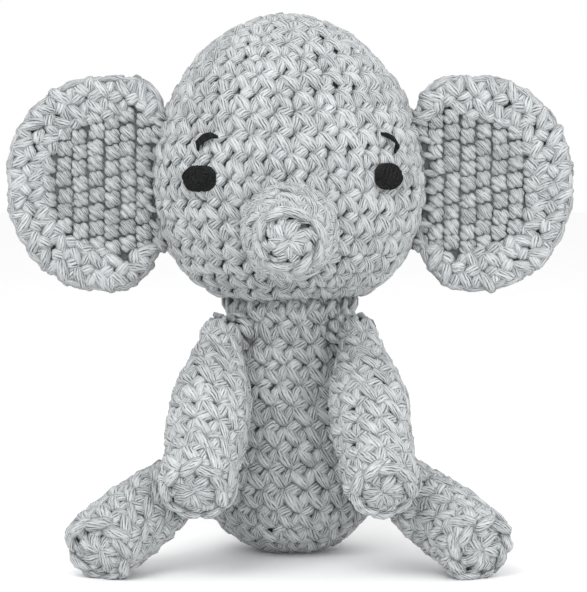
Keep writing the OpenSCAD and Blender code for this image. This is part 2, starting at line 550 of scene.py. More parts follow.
SHAPES: dict[Kind, list[Strand]] = {
    Kind.SINGLE: [
        Strand(
            [(-0.52, 0.44, -0.16), (-0.39, 0.23, 0.05), (-0.20, -0.02, 0.11), (0.02, -0.26, 0.11),
             (0.28, -0.50, -0.08)],
            [0.17, 0.28, 0.31, 0.30, 0.18],
            0.56,
        ),
        Strand(
            [(0.22, -0.42, -0.14), (0.26, -0.17, 0.05), (0.30, 0.12, 0.08), (0.34, 0.46, -0.14)],
            [0.14, 0.265, 0.275, 0.16],
            0.62,
        ),
    ],
    Kind.BRIDGE: [
        Strand(
            [(-0.28, -0.26, -0.16), (-0.10, -0.08, 0.06), (0.10, 0.10, 0.06), (0.28, 0.28, -0.16)],
            [0.20, 0.34, 0.34, 0.19],
            0.52,
        ),
    ],
    Kind.WEDGE: [
        Strand(
            [(0.0, -0.43, 0.02), (-0.09, -0.24, 0.05), (-0.20, 0.04, 0.11), (-0.27, 0.32, 0.05),
             (-0.30, 0.54, -0.18)],
            [0.18, 0.25, 0.31, 0.30, 0.14],
            0.7,
        ),
        Strand(
            [(0.02, -0.40, -0.01), (0.14, -0.20, 0.02), (0.24, 0.06, 0.07), (0.30, 0.32, 0.02),
             (0.34, 0.52, -0.18)],
            [0.17, 0.23, 0.27, 0.26, 0.13],
            0.7,
        ),
    ],
    Kind.LOOP: [
        Strand(
            [(-0.80, -0.14, -0.12), (-0.45, -0.09, 0.05), (0.0, 0.0, 0.12), (0.45, 0.09, 0.05),
             (0.80, 0.14, -0.12)],
            [0.10, 0.20, 0.23, 0.20, 0.10],
        ),
    ],
    Kind.WHIP: [
        Strand(
            [(-0.16, -0.55, -0.22), (-0.09, -0.25, 0.03), (0.0, 0.0, 0.08), (0.09, 0.25, 0.03),
             (0.16, 0.55, -0.22)],
            [0.09, 0.18, 0.20, 0.18, 0.09],
        ),
    ],
    Kind.BACK: [
        Strand(
            [(-0.44, 0.34, -0.24), (-0.24, 0.22, 0.06), (0.02, 0.02, 0.14), (0.25, -0.20, 0.06),
             (0.42, -0.38, -0.24)],
            [0.14, 0.25, 0.28, 0.25, 0.13],
            0.75,
        ),
        Strand(
            [(-0.02, 0.50, -0.24), (0.12, 0.36, 0.03), (0.27, 0.20, 0.03), (0.43, 0.0, -0.24)],
            [0.13, 0.23, 0.23, 0.12],
            0.75,
        ),
        Strand(
            [(-0.45, 0.02, -0.24), (-0.30, -0.16, 0.02), (-0.14, -0.32, 0.02), (0.02, -0.48, -0.24)],
            [0.13, 0.23, 0.23, 0.12],
            0.75,
        ),
    ],
}


def yarn_mesh(name: str, strands: Sequence[Strand]) -> bpy.types.Mesh:
    """One mesh from bits of yarn, with their strand coordinates as a UV map.

    Args:
        name: The mesh's name.
        strands: The bits of yarn.

    Returns:
        The mesh.
    """
    corners: list[Triple] = []
    faces: list[list[int]] = []
    coords: list[tuple[float, float]] = []
    for strand in strands:
        more = strand.mesh(len(corners))
        corners += more[0]
        faces += more[1]
        coords += more[2]
    mesh = bpy.data.meshes.new(name)
    mesh.from_pydata(corners, [], faces)
    layer = mesh.uv_layers.new(name="strand")
    layer.data.foreach_set("uv", np.array(coords, np.float32).ravel())
    mesh.shade_smooth()
    return mesh


class Laying(Tree):
    """The tree that lays one stitch at each place, turned to its facing and its work."""

    SLIP = 0.0022  # how far a stitch slips, in metres, for each radian that it leans
    GROWTH = (0.94, 1.07)  # how much smaller or larger a stitch may be

    def __init__(self) -> None:
        """Build the tree and note the identifiers of its inputs."""
        super().__init__(bpy.data.node_groups.new("Lay Stitches", "GeometryNodeTree"))
        sockets = (
            ("Places", "NodeSocketGeometry"),
            ("Stitch", "NodeSocketObject"),
            ("Yarn", "NodeSocketMaterial"),
            ("Unevenness", "NodeSocketFloat"),
            ("Seed", "NodeSocketInt"),
        )
        self.inputs = {}
        for name, kind in sockets:
            made = self.tree.interface.new_socket(name, in_out="INPUT", socket_type=kind)
            self.inputs[name] = made.identifier
        self.tree.interface.new_socket("Crochet", in_out="OUTPUT", socket_type="NodeSocketGeometry")
        self.given = self.node("NodeGroupInput").outputs
        self.node("NodeGroupOutput", {"Crochet": self.crochet()})

    def named(self, name: str) -> Socket:
        """A vector that every place carries."""
        made = self.node("GeometryNodeInputNamedAttribute", {"Name": name}, data_type="FLOAT_VECTOR")
        return made.outputs["Attribute"]

    def scatter(self, low: float, high: float, shift: int) -> Socket:
        """A random vector for each place.

        Args:
            low: The least of each number.
            high: The most of each number.
            shift: What is added to the seed.

        Returns:
            The vector's socket.
        """
        seed = self.node("FunctionNodeIntegerMath", {0: self.given["Seed"], 1: shift}, operation="ADD")
        inputs = {0: (low,) * 3, 1: (high,) * 3, "Seed": seed.outputs[0]}
        return self.node("FunctionNodeRandomValue", inputs, data_type="FLOAT_VECTOR").outputs[0]

    def scaled(self, vector: Socket, factor: Socket | float) -> Socket:
        """A vector times a number."""
        return self.node("ShaderNodeVectorMath", {0: vector, "Scale": factor}, operation="SCALE").outputs[0]

    def crochet(self) -> Socket:
        """Join the nodes, from the places to the dressed mesh.

        Returns:
            The mesh's socket.
        """
        uneven = self.given["Unevenness"]
        axes = {0: self.named("facing"), 1: self.named("work")}
        face = self.node("FunctionNodeAxesToRotation", axes, primary_axis="Z", secondary_axis="Y")
        tilt = self.node("FunctionNodeEulerToRotation", {0: self.scaled(self.scatter(-1, 1, 11), uneven)})
        turns = {0: face.outputs[0], 1: tilt.outputs[0]}
        turn = self.node("FunctionNodeRotateRotation", turns, rotation_space="LOCAL")
        slip = self.scaled(self.scaled(self.scatter(-1, 1, 23), uneven), self.SLIP)
        nudge = self.node("GeometryNodeSetPosition", {"Geometry": self.given["Places"], "Offset": slip})
        sizes = {0: self.named("spread"), 1: self.scatter(*self.GROWTH, 37)}
        grow = self.node("ShaderNodeVectorMath", sizes, operation="MULTIPLY")
        stitch = self.node("GeometryNodeObjectInfo", {"Object": self.given["Stitch"]})
        lay = self.node("GeometryNodeInstanceOnPoints", {
            "Points": nudge.outputs[0],
            "Instance": stitch.outputs["Geometry"],
            "Rotation": turn.outputs[0],
            "Scale": grow.outputs[0],
        })
        tone = self.node("FunctionNodeRandomValue", {"Seed": self.given["Seed"]}, data_type="FLOAT")
        kept = {"Name": "tone", "Geometry": lay.outputs[0], "Value": tone.outputs[1]}
        keep = self.node("GeometryNodeStoreNamedAttribute", kept, data_type="FLOAT", domain="INSTANCE")
        real = self.node("GeometryNodeRealizeInstances", {0: keep.outputs[0]})
        dress = {"Geometry": real.outputs[0], "Material": self.given["Yarn"]}
        return self.node("GeometryNodeSetMaterial", dress).outputs[0]


class Stitches:
    """The few bits of yarn that the whole toy repeats, and the tree that lays them."""

    def __init__(self) -> None:
        """Make each kind of stitch once, and the tree."""
        self.laying = Laying()
        self.shapes = {
            kind: bpy.data.objects.new(kind.value, yarn_mesh(kind.value, SHAPES[kind])) for kind in Kind
        }


@dataclass
class Places:
    """Where stitches go: place, facing, direction of work and size, one row each."""

    at: list[Array] = field(default_factory=list)
    facing: list[Array] = field(default_factory=list)
    work: list[Array] = field(default_factory=list)
    spread: list[Triple] = field(default_factory=list)

    def add(self, at: Array, facing: Array, work: Array, spread: Triple) -> None:
        """Add one stitch.

        Args:
            at: Its place in millimetres.
            facing: The fabric's outward direction.
            work: The direction in which the work grows.
            spread: Its width, height and depth in millimetres.
        """
        self.at.append(at)
        self.facing.append(facing)
        self.work.append(work)
        self.spread.append(spread)

    def lay(
        self, stitches: Stitches, kind: Kind, yarn: bpy.types.Material, seed: int, uneven: float
    ) -> bpy.types.Mesh:
        """Lay the stitches and return them as one plain mesh.

        Args:
            stitches: The shapes and their tree.
            kind: The kind of stitch to lay.
            yarn: Its finish.
            seed: The seed of its unevenness.
            uneven: How far stitches lean, in radians.

        Returns:
            The mesh, in metres.
        """
        mesh = bpy.data.meshes.new("places")
        mesh.from_pydata([tuple(p * MM) for p in self.at], [], [])
        rows = {"facing": self.facing, "work": self.work, "spread": np.array(self.spread) * MM}
        for name, values in rows.items():
            layer = mesh.attributes.new(name, "FLOAT_VECTOR", "POINT")
            layer.data.foreach_set("vector", np.asarray(values, np.float32).ravel())
        places = bpy.data.objects.new("places", mesh)
        bpy.context.scene.collection.objects.link(places)
        laying = places.modifiers.new("Lay", "NODES")
        laying.node_group = stitches.laying.tree
        inputs = {"Stitch": stitches.shapes[kind], "Yarn": yarn, "Unevenness": uneven, "Seed": seed}
        for name, value in inputs.items():
            laying[stitches.laying.inputs[name]] = value
        ready = bpy.context.evaluated_depsgraph_get()
        made = bpy.data.meshes.new_from_object(places.evaluated_get(ready))
        bpy.data.objects.remove(places)
        return made


def joined(name: str, meshes: Sequence[bpy.types.Mesh]) -> bpy.types.Object:
    """One object from several meshes, with their materials kept.

    Args:
        name: The object's name.
        meshes: The meshes.

    Returns:
        The object, at the origin.
    """
    parts = [bpy.data.objects.new(name, mesh) for mesh in meshes]
    for part in parts:
        bpy.context.scene.collection.objects.link(part)
    if len(parts) > 1:
        chosen = {"selected_objects": parts, "selected_editable_objects": parts}
        with bpy.context.temp_override(active_object=parts[0], object=parts[0], **chosen):
            bpy.ops.object.join()
    parts[0].name = name
    parts[0].data.name = name
    return parts[0]


# ---------------------------------------------------------------------------- surfaces


@dataclass(frozen=True)
class Looseness:
    """How far the most loosely pulled bits of yarn in a ring stray from their place.

    Attributes:
        inward: Toward or from the middle, as a share of the ring's place.
        sideways: Round the ring, in bits.
        tilt: Turned, in radians.
        width: In width, as a share.
        height: In height, as a share.
        rise: Off the surface, in millimetres.
    """

    inward: float = 0.12
    sideways: float = 0.3
    tilt: float = 0.35
    width: float = 0.1
    height: float = 0.18
    rise: float = 0.25


@dataclass
class Round:
    """A surface turned about an axis, worked in rounds from its first profile point.

    Attributes:
        profile: Points (radius, place along the axis) in millimetres, in working order.
        origin: Where the axis's zero is.
        axis: The axis's direction.
        near: How far to either side a slope is measured.
        bulge: How much stitches swell where the tube is thin.
        thin: The radius below which they swell no further.
        below: How far under their stitch crossing strands lie, in rounds.
        beside: How far to its right they lie, in stitches, if the rounds don't lean.
        fold: How much they stand out over the edge that they start from.
    """

    profile: Array
    origin: Array
    axis: Array
    near: float = 1.2
    bulge: float = 12.0
    thin: float = 8.0
    below: float = 0.54
    beside: float = 0.82
    fold: float = 0.6

    def __post_init__(self) -> None:
        """Measure the profile and set the axis's cross directions."""
        self.run = along(self.profile)
        self.length = float(self.run[-1])
        self.hand = 1.0 if self.profile[-1, 1] > self.profile[0, 1] else -1.0
        self.axis = unit(np.asarray(self.axis, float))
        seed = np.array([0.0, -1.0, 0.0]) if abs(self.axis[1]) < 0.9 else UP
        self.first = unit(seed - seed @ self.axis * self.axis)
        self.second = np.cross(self.axis, self.first)

    def point(self, run: float) -> tuple[float, float]:
        """The radius and the place along the axis at a length along the profile."""
        return tuple(float(np.interp(run, self.run, self.profile[:, k])) for k in (0, 1))

    def at(self, run: float, angle: float) -> tuple[Array, Array, Array, float]:
        """A point of the surface.

        Args:
            run: How far along the profile, in millimetres.
            angle: The angle about the axis.

        Returns:
            The point, the outward direction, the direction of work and the radius.
        """
        r, t = self.point(run)
        before, after = self.point(max(run - self.near, 0.0)), self.point(min(run + self.near, self.length))
        dr, dt = after[0] - before[0], after[1] - before[1]
        radial = math.cos(angle) * self.first + math.sin(angle) * self.second
        work = unit(dr * radial + dt * self.axis)
        facing = unit(self.hand * (dt * radial - dr * self.axis))
        return self.origin + r * radial + t * self.axis, facing, work, r

    def share(self, run: float, turned: float) -> tuple[Array, Array, Array, float]:
        """A point by its share of a turn, which runs to the right as the work grows upward."""
        return self.at(run, self.hand * TURN * turned)

    def reach(self, radius: float) -> float:
        """How far along the profile it first has a radius."""
        return float(self.run[int(np.argmax(self.profile[:, 0] >= radius))])

    def lining(self, inset: float, rings: int, spokes: int) -> bpy.types.Mesh:
        """The closed inner side of the fabric.

        Args:
            inset: How far inside the surface it lies.
            rings: Rings along the profile.
            spokes: Points of each ring.

        Returns:
            The mesh, in metres.
        """
        corners = []
        for i in range(rings + 1):
            for k in range(spokes):
                p, n, _, r = self.at(self.length * i / rings, TURN * k / spokes)
                corners.append(tuple((p - min(inset, r) * n) * MM))
        last = rings * spokes
        ends = [list(range(spokes))[::-1], list(range(last, last + spokes))]
        mesh = bpy.data.meshes.new("lining")
        mesh.from_pydata(corners, [], bands(rings, spokes) + ends)
        if self.hand < 0:
            mesh.flip_normals()
        mesh.shade_smooth()
        return mesh

    def pattern(
        self, start: float, pitch: float, step: int = 1, low: int = 6, width: float = STITCH
    ) -> list[int]:
        """How many stitches each round takes, as a maker counts increases and decreases.

        Args:
            start: Where the first round lies on the profile.
            pitch: Distance between rounds.
            step: The count's usual change from round to round.
            low: The fewest stitches in a round.
            width: A stitch's usual width.

        Returns:
            The count of each round, as far as the profile goes.
        """
        counts = []
        run = start
        while run < self.length:
            around = TURN * self.point(run)[0]
            counts.append(max(low, step * round(around / (step * width))))
            run += pitch
        return counts

    def rounds(
        self, singles: Places, bridges: Places, counts: Sequence[int], start: float, pitch: float, lean: float
    ) -> None:
        """Lay rounds of stitches; on a tight curve, or the edge they start from, they bulge.

        Args:
            singles: The list for the stitches.
            bridges: The list for the strands that cross between two rounds.
            counts: Stitches in each round.
            start: Where on the profile the first round's middle lies.
            pitch: Distance between rounds.
            lean: How far each round's stitches shift, in stitches.
        """
        phase = 0.0
        for i, count in enumerate(counts):
            phase += lean / count
            run = start + i * pitch
            bend = 0.0
            if i < 2:
                bend = 1 - self.at(run - pitch / 2, 0.0)[1] @ self.at(run + pitch / 2, 0.0)[1]
            for j in range(count):
                turned = 0.5 + phase + j / count
                p, n, work, r = self.share(run, turned)
                swell = 1 + self.bulge / max(r, self.thin) ** 2
                tall = pitch * (0.5 + swell / 2 + self.fold * bend)
                size = (swell * TURN * r / count, tall, STITCH)
                singles.add(p + self.fold * bend * n, n, work, size)
                lower = max(run - self.below * pitch, 0.5)
                p, n, work, _ = self.share(lower, turned + (self.beside - lean) / count)
                bridges.add(p, n, work, size)

    def ring(
        self, places: Places, run: float, count: int, size: Triple, out: float = 0.0, loose: float = 0.0
    ) -> None:
        """Lay a single ring of yarn bits.

        Args:
            places: The list to add to.
            run: Where on the profile the ring lies.
            count: How many bits it takes.
            size: Their width, height and depth.
            out: How far they stand off the surface.
            loose: How unevenly they were pulled, from 0 to 1.
        """
        rng = np.random.default_rng(round(1000 * run) + count)
        stray = Looseness()
        for j in range(count):
            slip, tilt, grow, rise = loose * rng.uniform(-1, 1, 4)
            turned = (j + 0.5 + stray.sideways * slip) / count
            p, n, work, _ = self.share(run * (1 + stray.inward * slip), turned)
            way = unit(work + stray.tilt * tilt * np.cross(work, n))
            wide, tall, deep = size
            sizes = (wide * (1 + stray.width * tilt), tall * (1 + stray.height * grow), deep)
            places.add(p + (out + stray.rise * rise) * n, n, way, sizes)


def moved(mesh: bpy.types.Mesh, *changes: Callable[[Array], Array]) -> None:
    """Move a mesh's corners.

    Args:
        mesh: The mesh, in metres.
        *changes: Each takes the corners in millimetres and returns the new ones.
    """
    co = np.zeros(len(mesh.vertices) * 3, np.float64)
    mesh.vertices.foreach_get("co", co)
    co = co.reshape(-1, 3) / MM
    for change in changes:
        co = change(co)
    mesh.vertices.foreach_set("co", (co * MM).astype(np.float32).ravel())
    mesh.update()


def stuffed(centre: Array, lump: float, seed: int) -> Callable[[Array], Array]:
    """The slight unevenness that loose filling gives a cover.

    Args:
        centre: The part's middle, from which lumps push out.
        lump: How far the fullest lumps push, in millimetres.
        seed: Which unevenness.

    Returns:
        The change of corners.
    """
    rng = np.random.default_rng(seed)
    count, longest, shortest = 7, 0.16, 0.42  # waves, and their radians per millimetre
    usual = 3.2  # what so many waves come to, at most places
    waves = rng.normal(0, 1, (count, 3))
    waves *= (rng.uniform(longest, shortest, count) / np.linalg.norm(waves, axis=1))[:, None]
    phases = rng.uniform(0, TURN, count)

    def change(co: Array) -> Array:
        """Push corners out or in along their direction from the middle.

        Args:
            co: Corners in millimetres.

        Returns:
            The new corners.
        """
        out = co - centre
        out /= np.maximum(np.linalg.norm(out, axis=1), 1e-6)[:, None]
        push = np.sin(co @ waves.T + phases).sum(axis=1) / usual
        return co + lump * push[:, None] * out

    return change


def pressed(co: Array) -> Array:
    """Nothing reaches below the surface that the toy sits on."""
    co[:, 2] = np.maximum(co[:, 2], FLOOR_GAP)
    return co


# ---------------------------------------------------------------------------- the parts


@dataclass
class Basket:
    """What the maker works with: the stitches and the finishes."""

    stitches: Stitches
    yarn: bpy.types.Material
    inner: bpy.types.Material
    thread: bpy.types.Material

    def piece(
        self,
        name: str,
        layers: Sequence[tuple[Kind, Places]],
        lining: bpy.types.Mesh | None,
        seed: int,
        uneven: float = 0.10,
    ) -> bpy.types.Object:
        """Lay every layer and join it with its lining.

        Args:
            name: The piece's name.
            layers: Kinds of stitch and their places.
            lining: The inner side, if the piece has one.
            seed: The seed of the unevenness.
            uneven: How far stitches lean, in radians.

        Returns:
            The piece.
        """
        meshes = []
        for i, (kind, places) in enumerate(layers):
            meshes.append(places.lay(self.stitches, kind, self.yarn, seed + i, uneven))
        if lining is not None:
            # the lining takes the dark finish that paints shade into the holes between stitches
            lining.materials.append(self.inner)
            meshes.append(lining)
        return joined(name, meshes)

    def cover(
        self, name: str, cloth: Round, pitch: float, step: int, lean: float, spokes: int, seed: int
    ) -> bpy.types.Object:
        """Work a cover in rounds from its magic ring to its opening.

        Args:
            name: The piece's name.
            cloth: The surface it follows.
            pitch: Distance between rounds.
            step: The count's usual change from round to round.
            lean: How far each round's stitches shift, in stitches.
            spokes: Points round its lining.
            seed: The seed of the unevenness.

        Returns:
            The piece.
        """
        wedges, singles, bridges = Places(), Places(), Places()
        cloth.ring(wedges, RING_AT, RING_COUNT, RING_SIZE, 0.0, 0.6)
        counts = cloth.pattern(FIRST_ROUND, pitch, step, low=2 * RING_COUNT)
        cloth.rounds(singles, bridges, counts, FIRST_ROUND, pitch, lean)
        layers = [(Kind.WEDGE, wedges), (Kind.SINGLE, singles), (Kind.BRIDGE, bridges)]
        return self.piece(name, layers, cloth.lining(LINED, 60, spokes), seed)


def settle(
    piece: bpy.types.Object, body: str | None, nodes: Sequence[str]
) -> None:
    """Say what a piece rides on and stands for, and report it.

    Args:
        piece: The piece.
        body: The body that it moves with, if any.
        nodes: CAD nodes that it stands for.
    """
    if body is not None:
        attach(piece, body)
    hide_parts(*nodes)
    LOG.info("%s: %d faces, for %s", piece.name, len(piece.data.polygons), ", ".join(nodes))


@dataclass
class Head:
    """The round head, worked from the crown down to the neck.

    Attributes:
        basket: The stitches and finishes.
        radius: The half width.
        middle: Height of the widest place.
        crown: From there up to the top.
        chin: From there down to the lowest point of the oval.
        square: How square the lower half is; 2 is an ellipse.
        opening: The neck opening's radius.
        inset: How far the stitches' middle lies under the surface.
        lean: How far the crown leans to one side, in degrees.
        lean_from: The height at which the lean begins.
        lean_over: The height over which it grows.
    """

    basket: Basket
    radius: float = 38.4
    middle: float = 102.5
    crown: float = 47.5
    chin: float = 35.0
    square: float = 2.3
    opening: float = 19.6
    inset: float = 1.5
    lean: float = 3.0
    lean_from: float = 72.0
    lean_over: float = 26.0

    def side(self, z: float) -> float:
        """The head's radius at height z.

        Args:
            z: The height.

        Returns:
            The radius.
        """
        if z > self.middle:
            return self.radius * math.sqrt(max(1 - ((z - self.middle) / self.crown) ** 2, 0.0))
        return self.radius * max(1 - ((self.middle - z) / self.chin) ** self.square, 0.0) ** (1 / self.square)

    def surface(self) -> Round:
        """The fabric from the crown to the neck opening, whose rim turns in.

        Returns:
            The surface.
        """
        line = []
        for a in np.linspace(0, math.pi / 2, 26):
            line.append((self.radius * math.sin(a), self.middle + self.crown * math.cos(a)))
        for z in self.middle - self.chin * np.linspace(0, 1, 40)[1:]:
            if self.side(z) > self.opening:
                line.append((self.side(z), z))
        low = line[-1][1]
        line += [(self.opening - 0.6, low - 0.8), (self.opening - 3.0, low - 0.4)]
        return Round(drawn_in(np.array(line), self.inset, -1), np.zeros(3), UP)

    def leaning(self, co: Array) -> Array:
        """The crown leans a little to one side.

        Args:
            co: Corners in millimetres.

        Returns:
            The new corners.
        """
        turn = np.array(Matrix.Rotation(math.radians(-self.lean), 3, "Y"))
        base = np.array([0.0, 0.0, self.middle - 2.0])
        share = np.clip((co[:, 2] - self.lean_from) / self.lean_over, 0, 1)[:, None]
        return co + share * ((co - base) @ turn.T + base - co)

    def crochet(self) -> None:
        """Work the head."""
        piece = self.basket.cover("head_crochet", self.surface(), 5.75, 6, 0.09, 72, 3)
        moved(piece.data, stuffed(np.array([0, 0, self.middle]), 0.35, 5), self.leaning)
        settle(piece, "head", ["head_cover", "head_filling"])


@dataclass
class Face:
    """A black eye and the brow stitch over it, embroidered on one side of the head.

    Attributes:
        head: The head that it is sewn on.
        side: The toy's left or right.
        eye: The eye's middle, across and up.
        half_w: The eye's half width.
        half_h: The eye's half height.
        brow: Points of the brow, across and up.
        seed: The seed of the threads' unevenness.
        square: How round the eye's corners are; 1 is an oval.
        swell: How far the eye's middle stands out.
        within: How much of the eye the threads' middles take up.
        above: How far the lowest threads lie above the eye's edge, and each layer above the last.
        layers: Turn and count of the threads in each layer of the eye.
        side_by_side: How far each thread of the brow is shifted.
    """

    head: Head
    side: Side
    eye: tuple[float, float]
    half_w: float
    half_h: float
    brow: Sequence[tuple[float, float]]
    seed: int
    square: float = 0.72
    swell: float = 1.75
    within: float = 0.94
    above: tuple[float, float] = (0.35, 0.12)
    layers: Sequence[tuple[float, int]] = ((0.35, 13), (-0.5, 9), (1.2, 7))
    side_by_side: Sequence[float] = (-0.55, -0.1, 0.35, 0.75)

    def around(self, across: float, up: float, out: float) -> Array:
        """A point near the eye, measured from its middle along the head's curve.

        Args:
            across: How far across.
            up: How far up.
            out: How far it stands off the head.

        Returns:
            The point.
        """
        level = self.head.side(self.eye[1])
        r = self.head.side(self.eye[1] + up) + out
        a = math.asin(self.eye[0] / level) + across / level
        return np.array([r * math.sin(a), -r * math.cos(a), self.eye[1] + up])

    def spot(self, across: float, up: float, out: float) -> Array:
        """A point of the face, by its place across and up and how far it stands out."""
        r = self.head.side(up) + out
        return np.array([across, -math.sqrt(max(r * r - across * across, 0.0)), up])

    def patch(self) -> bpy.types.Mesh:
        """The raised pad under the eye's threads.

        Returns:
            The mesh, in metres.
        """
        rings, spokes = 6, 28
        corners = []
        for s in (i / rings for i in range(rings + 1)):
            out = 0.2 + self.swell * math.sqrt(max(1 - s**2.6, 0.0))
            for c, d in ((math.cos(TURN * k / spokes), math.sin(TURN * k / spokes)) for k in range(spokes)):
                across = s * self.half_w * math.copysign(abs(c) ** self.square, c)
                up = s * self.half_h * math.copysign(abs(d) ** self.square, d)
                corners.append(tuple(self.around(across, up, out) * MM))
        mesh = bpy.data.meshes.new("eye_patch")
        mesh.from_pydata(corners, [], [face[::-1] for face in bands(rings, spokes)])
        mesh.uv_layers.new(name="strand")
        mesh.shade_smooth()
        return mesh

    def eye_lines(self) -> list[list[Array]]:
        """The eye's threads: three layers of satin stitches that cross each other.

        Returns:
            Points of each thread.
        """
        rng = np.random.default_rng(self.seed)
        lines = []
        for layer, (tilt, count) in enumerate(self.layers):
            for j in range(count):
                off = (j + 0.5) / count * 2 - 1 + rng.uniform(-0.06, 0.06)
                lean = tilt + rng.uniform(-0.12, 0.12)
                half = math.sqrt(max(1 - off * off * 0.92, 0.02))
                points = []
                for reach in half * np.linspace(-1, 1, 9):
                    u = reach * math.cos(lean) - off * math.sin(lean)
                    v = reach * math.sin(lean) + off * math.cos(lean)
                    inside = min(u * u + v * v, 1.0)
                    dome = self.swell * math.sqrt(max(1 - inside**1.3, 0.0))
                    out = self.above[0] + dome + self.above[1] * layer
                    across, up = self.within * self.half_w * u, self.within * self.half_h * v
                    points.append(self.around(across, up, out))
                lines.append(points)
        return lines

    def brow_lines(self) -> list[list[Array]]:
        """The brow's threads: four laid side by side, full in the middle.

        Returns:
            Points of each thread.
        """
        path = np.array(self.brow)
        steps = 12
        lines = []
        for j, shift in enumerate(self.side_by_side):
            points = []
            for k in range(steps + 1):
                place = k / steps * (len(path) - 1)
                x, z = (float(np.interp(place, range(len(path)), path[:, i])) for i in (0, 1))
                full = math.sin(math.pi * (0.12 + 0.8 * k / steps))
                rise = 1.9 * math.sin(math.pi * (0.05 + 0.9 * k / steps))
                out = rise - 0.4 + 0.1 * (j % 2)
                points.append(self.spot(x + shift * full * 0.5, z - shift * full * 0.8, out))
            lines.append(points)
        return lines

    def sew(self, what: str, lines: Sequence[Sequence[Array]], radius: float, *under: bpy.types.Mesh) -> None:
        """Lay fine threads along lines on the face.

        Args:
            what: What they make.
            lines: Points in millimetres, for each thread.
            radius: The threads' radius.
            *under: What lies under the threads.
        """
        threads = []
        for points in lines:
            last = len(points) - 1
            taper = [0.35 + 0.65 * math.sin(math.pi * (0.08 + 0.84 * i / last)) for i in range(last + 1)]
            threads.append(FaceThread([tuple(p * MM) for p in points], [radius * MM * t for t in taper]))
        name = f"{self.side.word}_{what}"
        meshes = [yarn_mesh(name, threads), *under]
        for mesh in meshes:
            mesh.materials.append(self.head.basket.thread)
        settle(joined(f"{name}_stitching", meshes), "head", [name])

    def embroider(self) -> None:
        """Sew the eye and the brow."""
        self.sew("eye", self.eye_lines(), 0.36, self.patch())
        self.sew("brow", self.brow_lines(), 0.5)


@dataclass
class Body:
    """The pear-shaped body, worked from the seat up to the neck.

    Attributes:
        basket: The stitches and finishes.
        belly: The belly's radius.
        belly_height: Height of the widest place.
        press: How far its own weight presses the seat flat.
        neck: The neck ball's radius.
        neck_height: Height of the neck ball's middle.
        bend: How far below level the neck ball ends, in degrees.
        inset: How far the stitches' middle lies under the surface.
    """

    basket: Basket
    belly: float = 25.0
    belly_height: float = 19.5
    press: float = 1.0
    neck: float = 18.0
    neck_height: float = 68.0
    bend: float = 12.0
    inset: float = 1.5

    def side(self, z: float) -> float:
        """The body's radius at height z.

        Args:
            z: The height.

        Returns:
            The radius.
        """
        if z < self.belly_height:
            down = (self.belly_height - z) / (self.belly_height + self.press)
            return self.belly * math.sqrt(1 - down**2)
        waist_z = self.neck_height - self.neck * math.sin(math.radians(self.bend))
        waist = self.neck * math.cos(math.radians(self.bend))
        if z > waist_z:
            return math.sqrt(max(self.neck**2 - (z - self.neck_height) ** 2, 0.0))
        up = (z - self.belly_height) / (waist_z - self.belly_height)
        return waist + (self.belly - waist) * (1 + math.cos(math.pi * up)) / 2

    def surface(self) -> Round:
        """The fabric from the seat to the hidden top of the neck.

        Returns:
            The surface.
        """
        line = [(0.0, 0.0), (self.side(0.0) * 0.5, 0.0)]
        line += [(self.side(z), z) for z in np.linspace(0, self.neck_height + 10, 70)]
        return Round(drawn_in(np.array(line), self.inset, 1), np.zeros(3), UP)

    def crochet(self) -> None:
        """Work the body."""
        piece = self.basket.cover("body_crochet", self.surface(), 5.7, 3, 0.33, 60, 17)
        moved(piece.data, stuffed(np.array([0, 0, 30.0]), 0.3, 19), pressed)
        settle(piece, "torso", ["body_cover", "body_filling"])

    def neck_sewing(self, count: int = 20, above: float = 1.2) -> None:
        """The row of whip stitches between head and body.

        Args:
            count: How many stitches.
            above: How far it lies above the neck ball's middle.
        """
        places = Places()
        for a in (TURN * j / count for j in range(count)):
            n = np.array([math.cos(a), math.sin(a), 0.0])
            spot = (self.neck_height + above) * UP + self.neck * n
            places.add(spot, unit(n - 0.3 * UP), UP, NECK_SIZE)
        piece = self.basket.piece("neck_sewing", [(Kind.WHIP, places)], None, 71)
        settle(piece, "neck", ["neck_seam"])


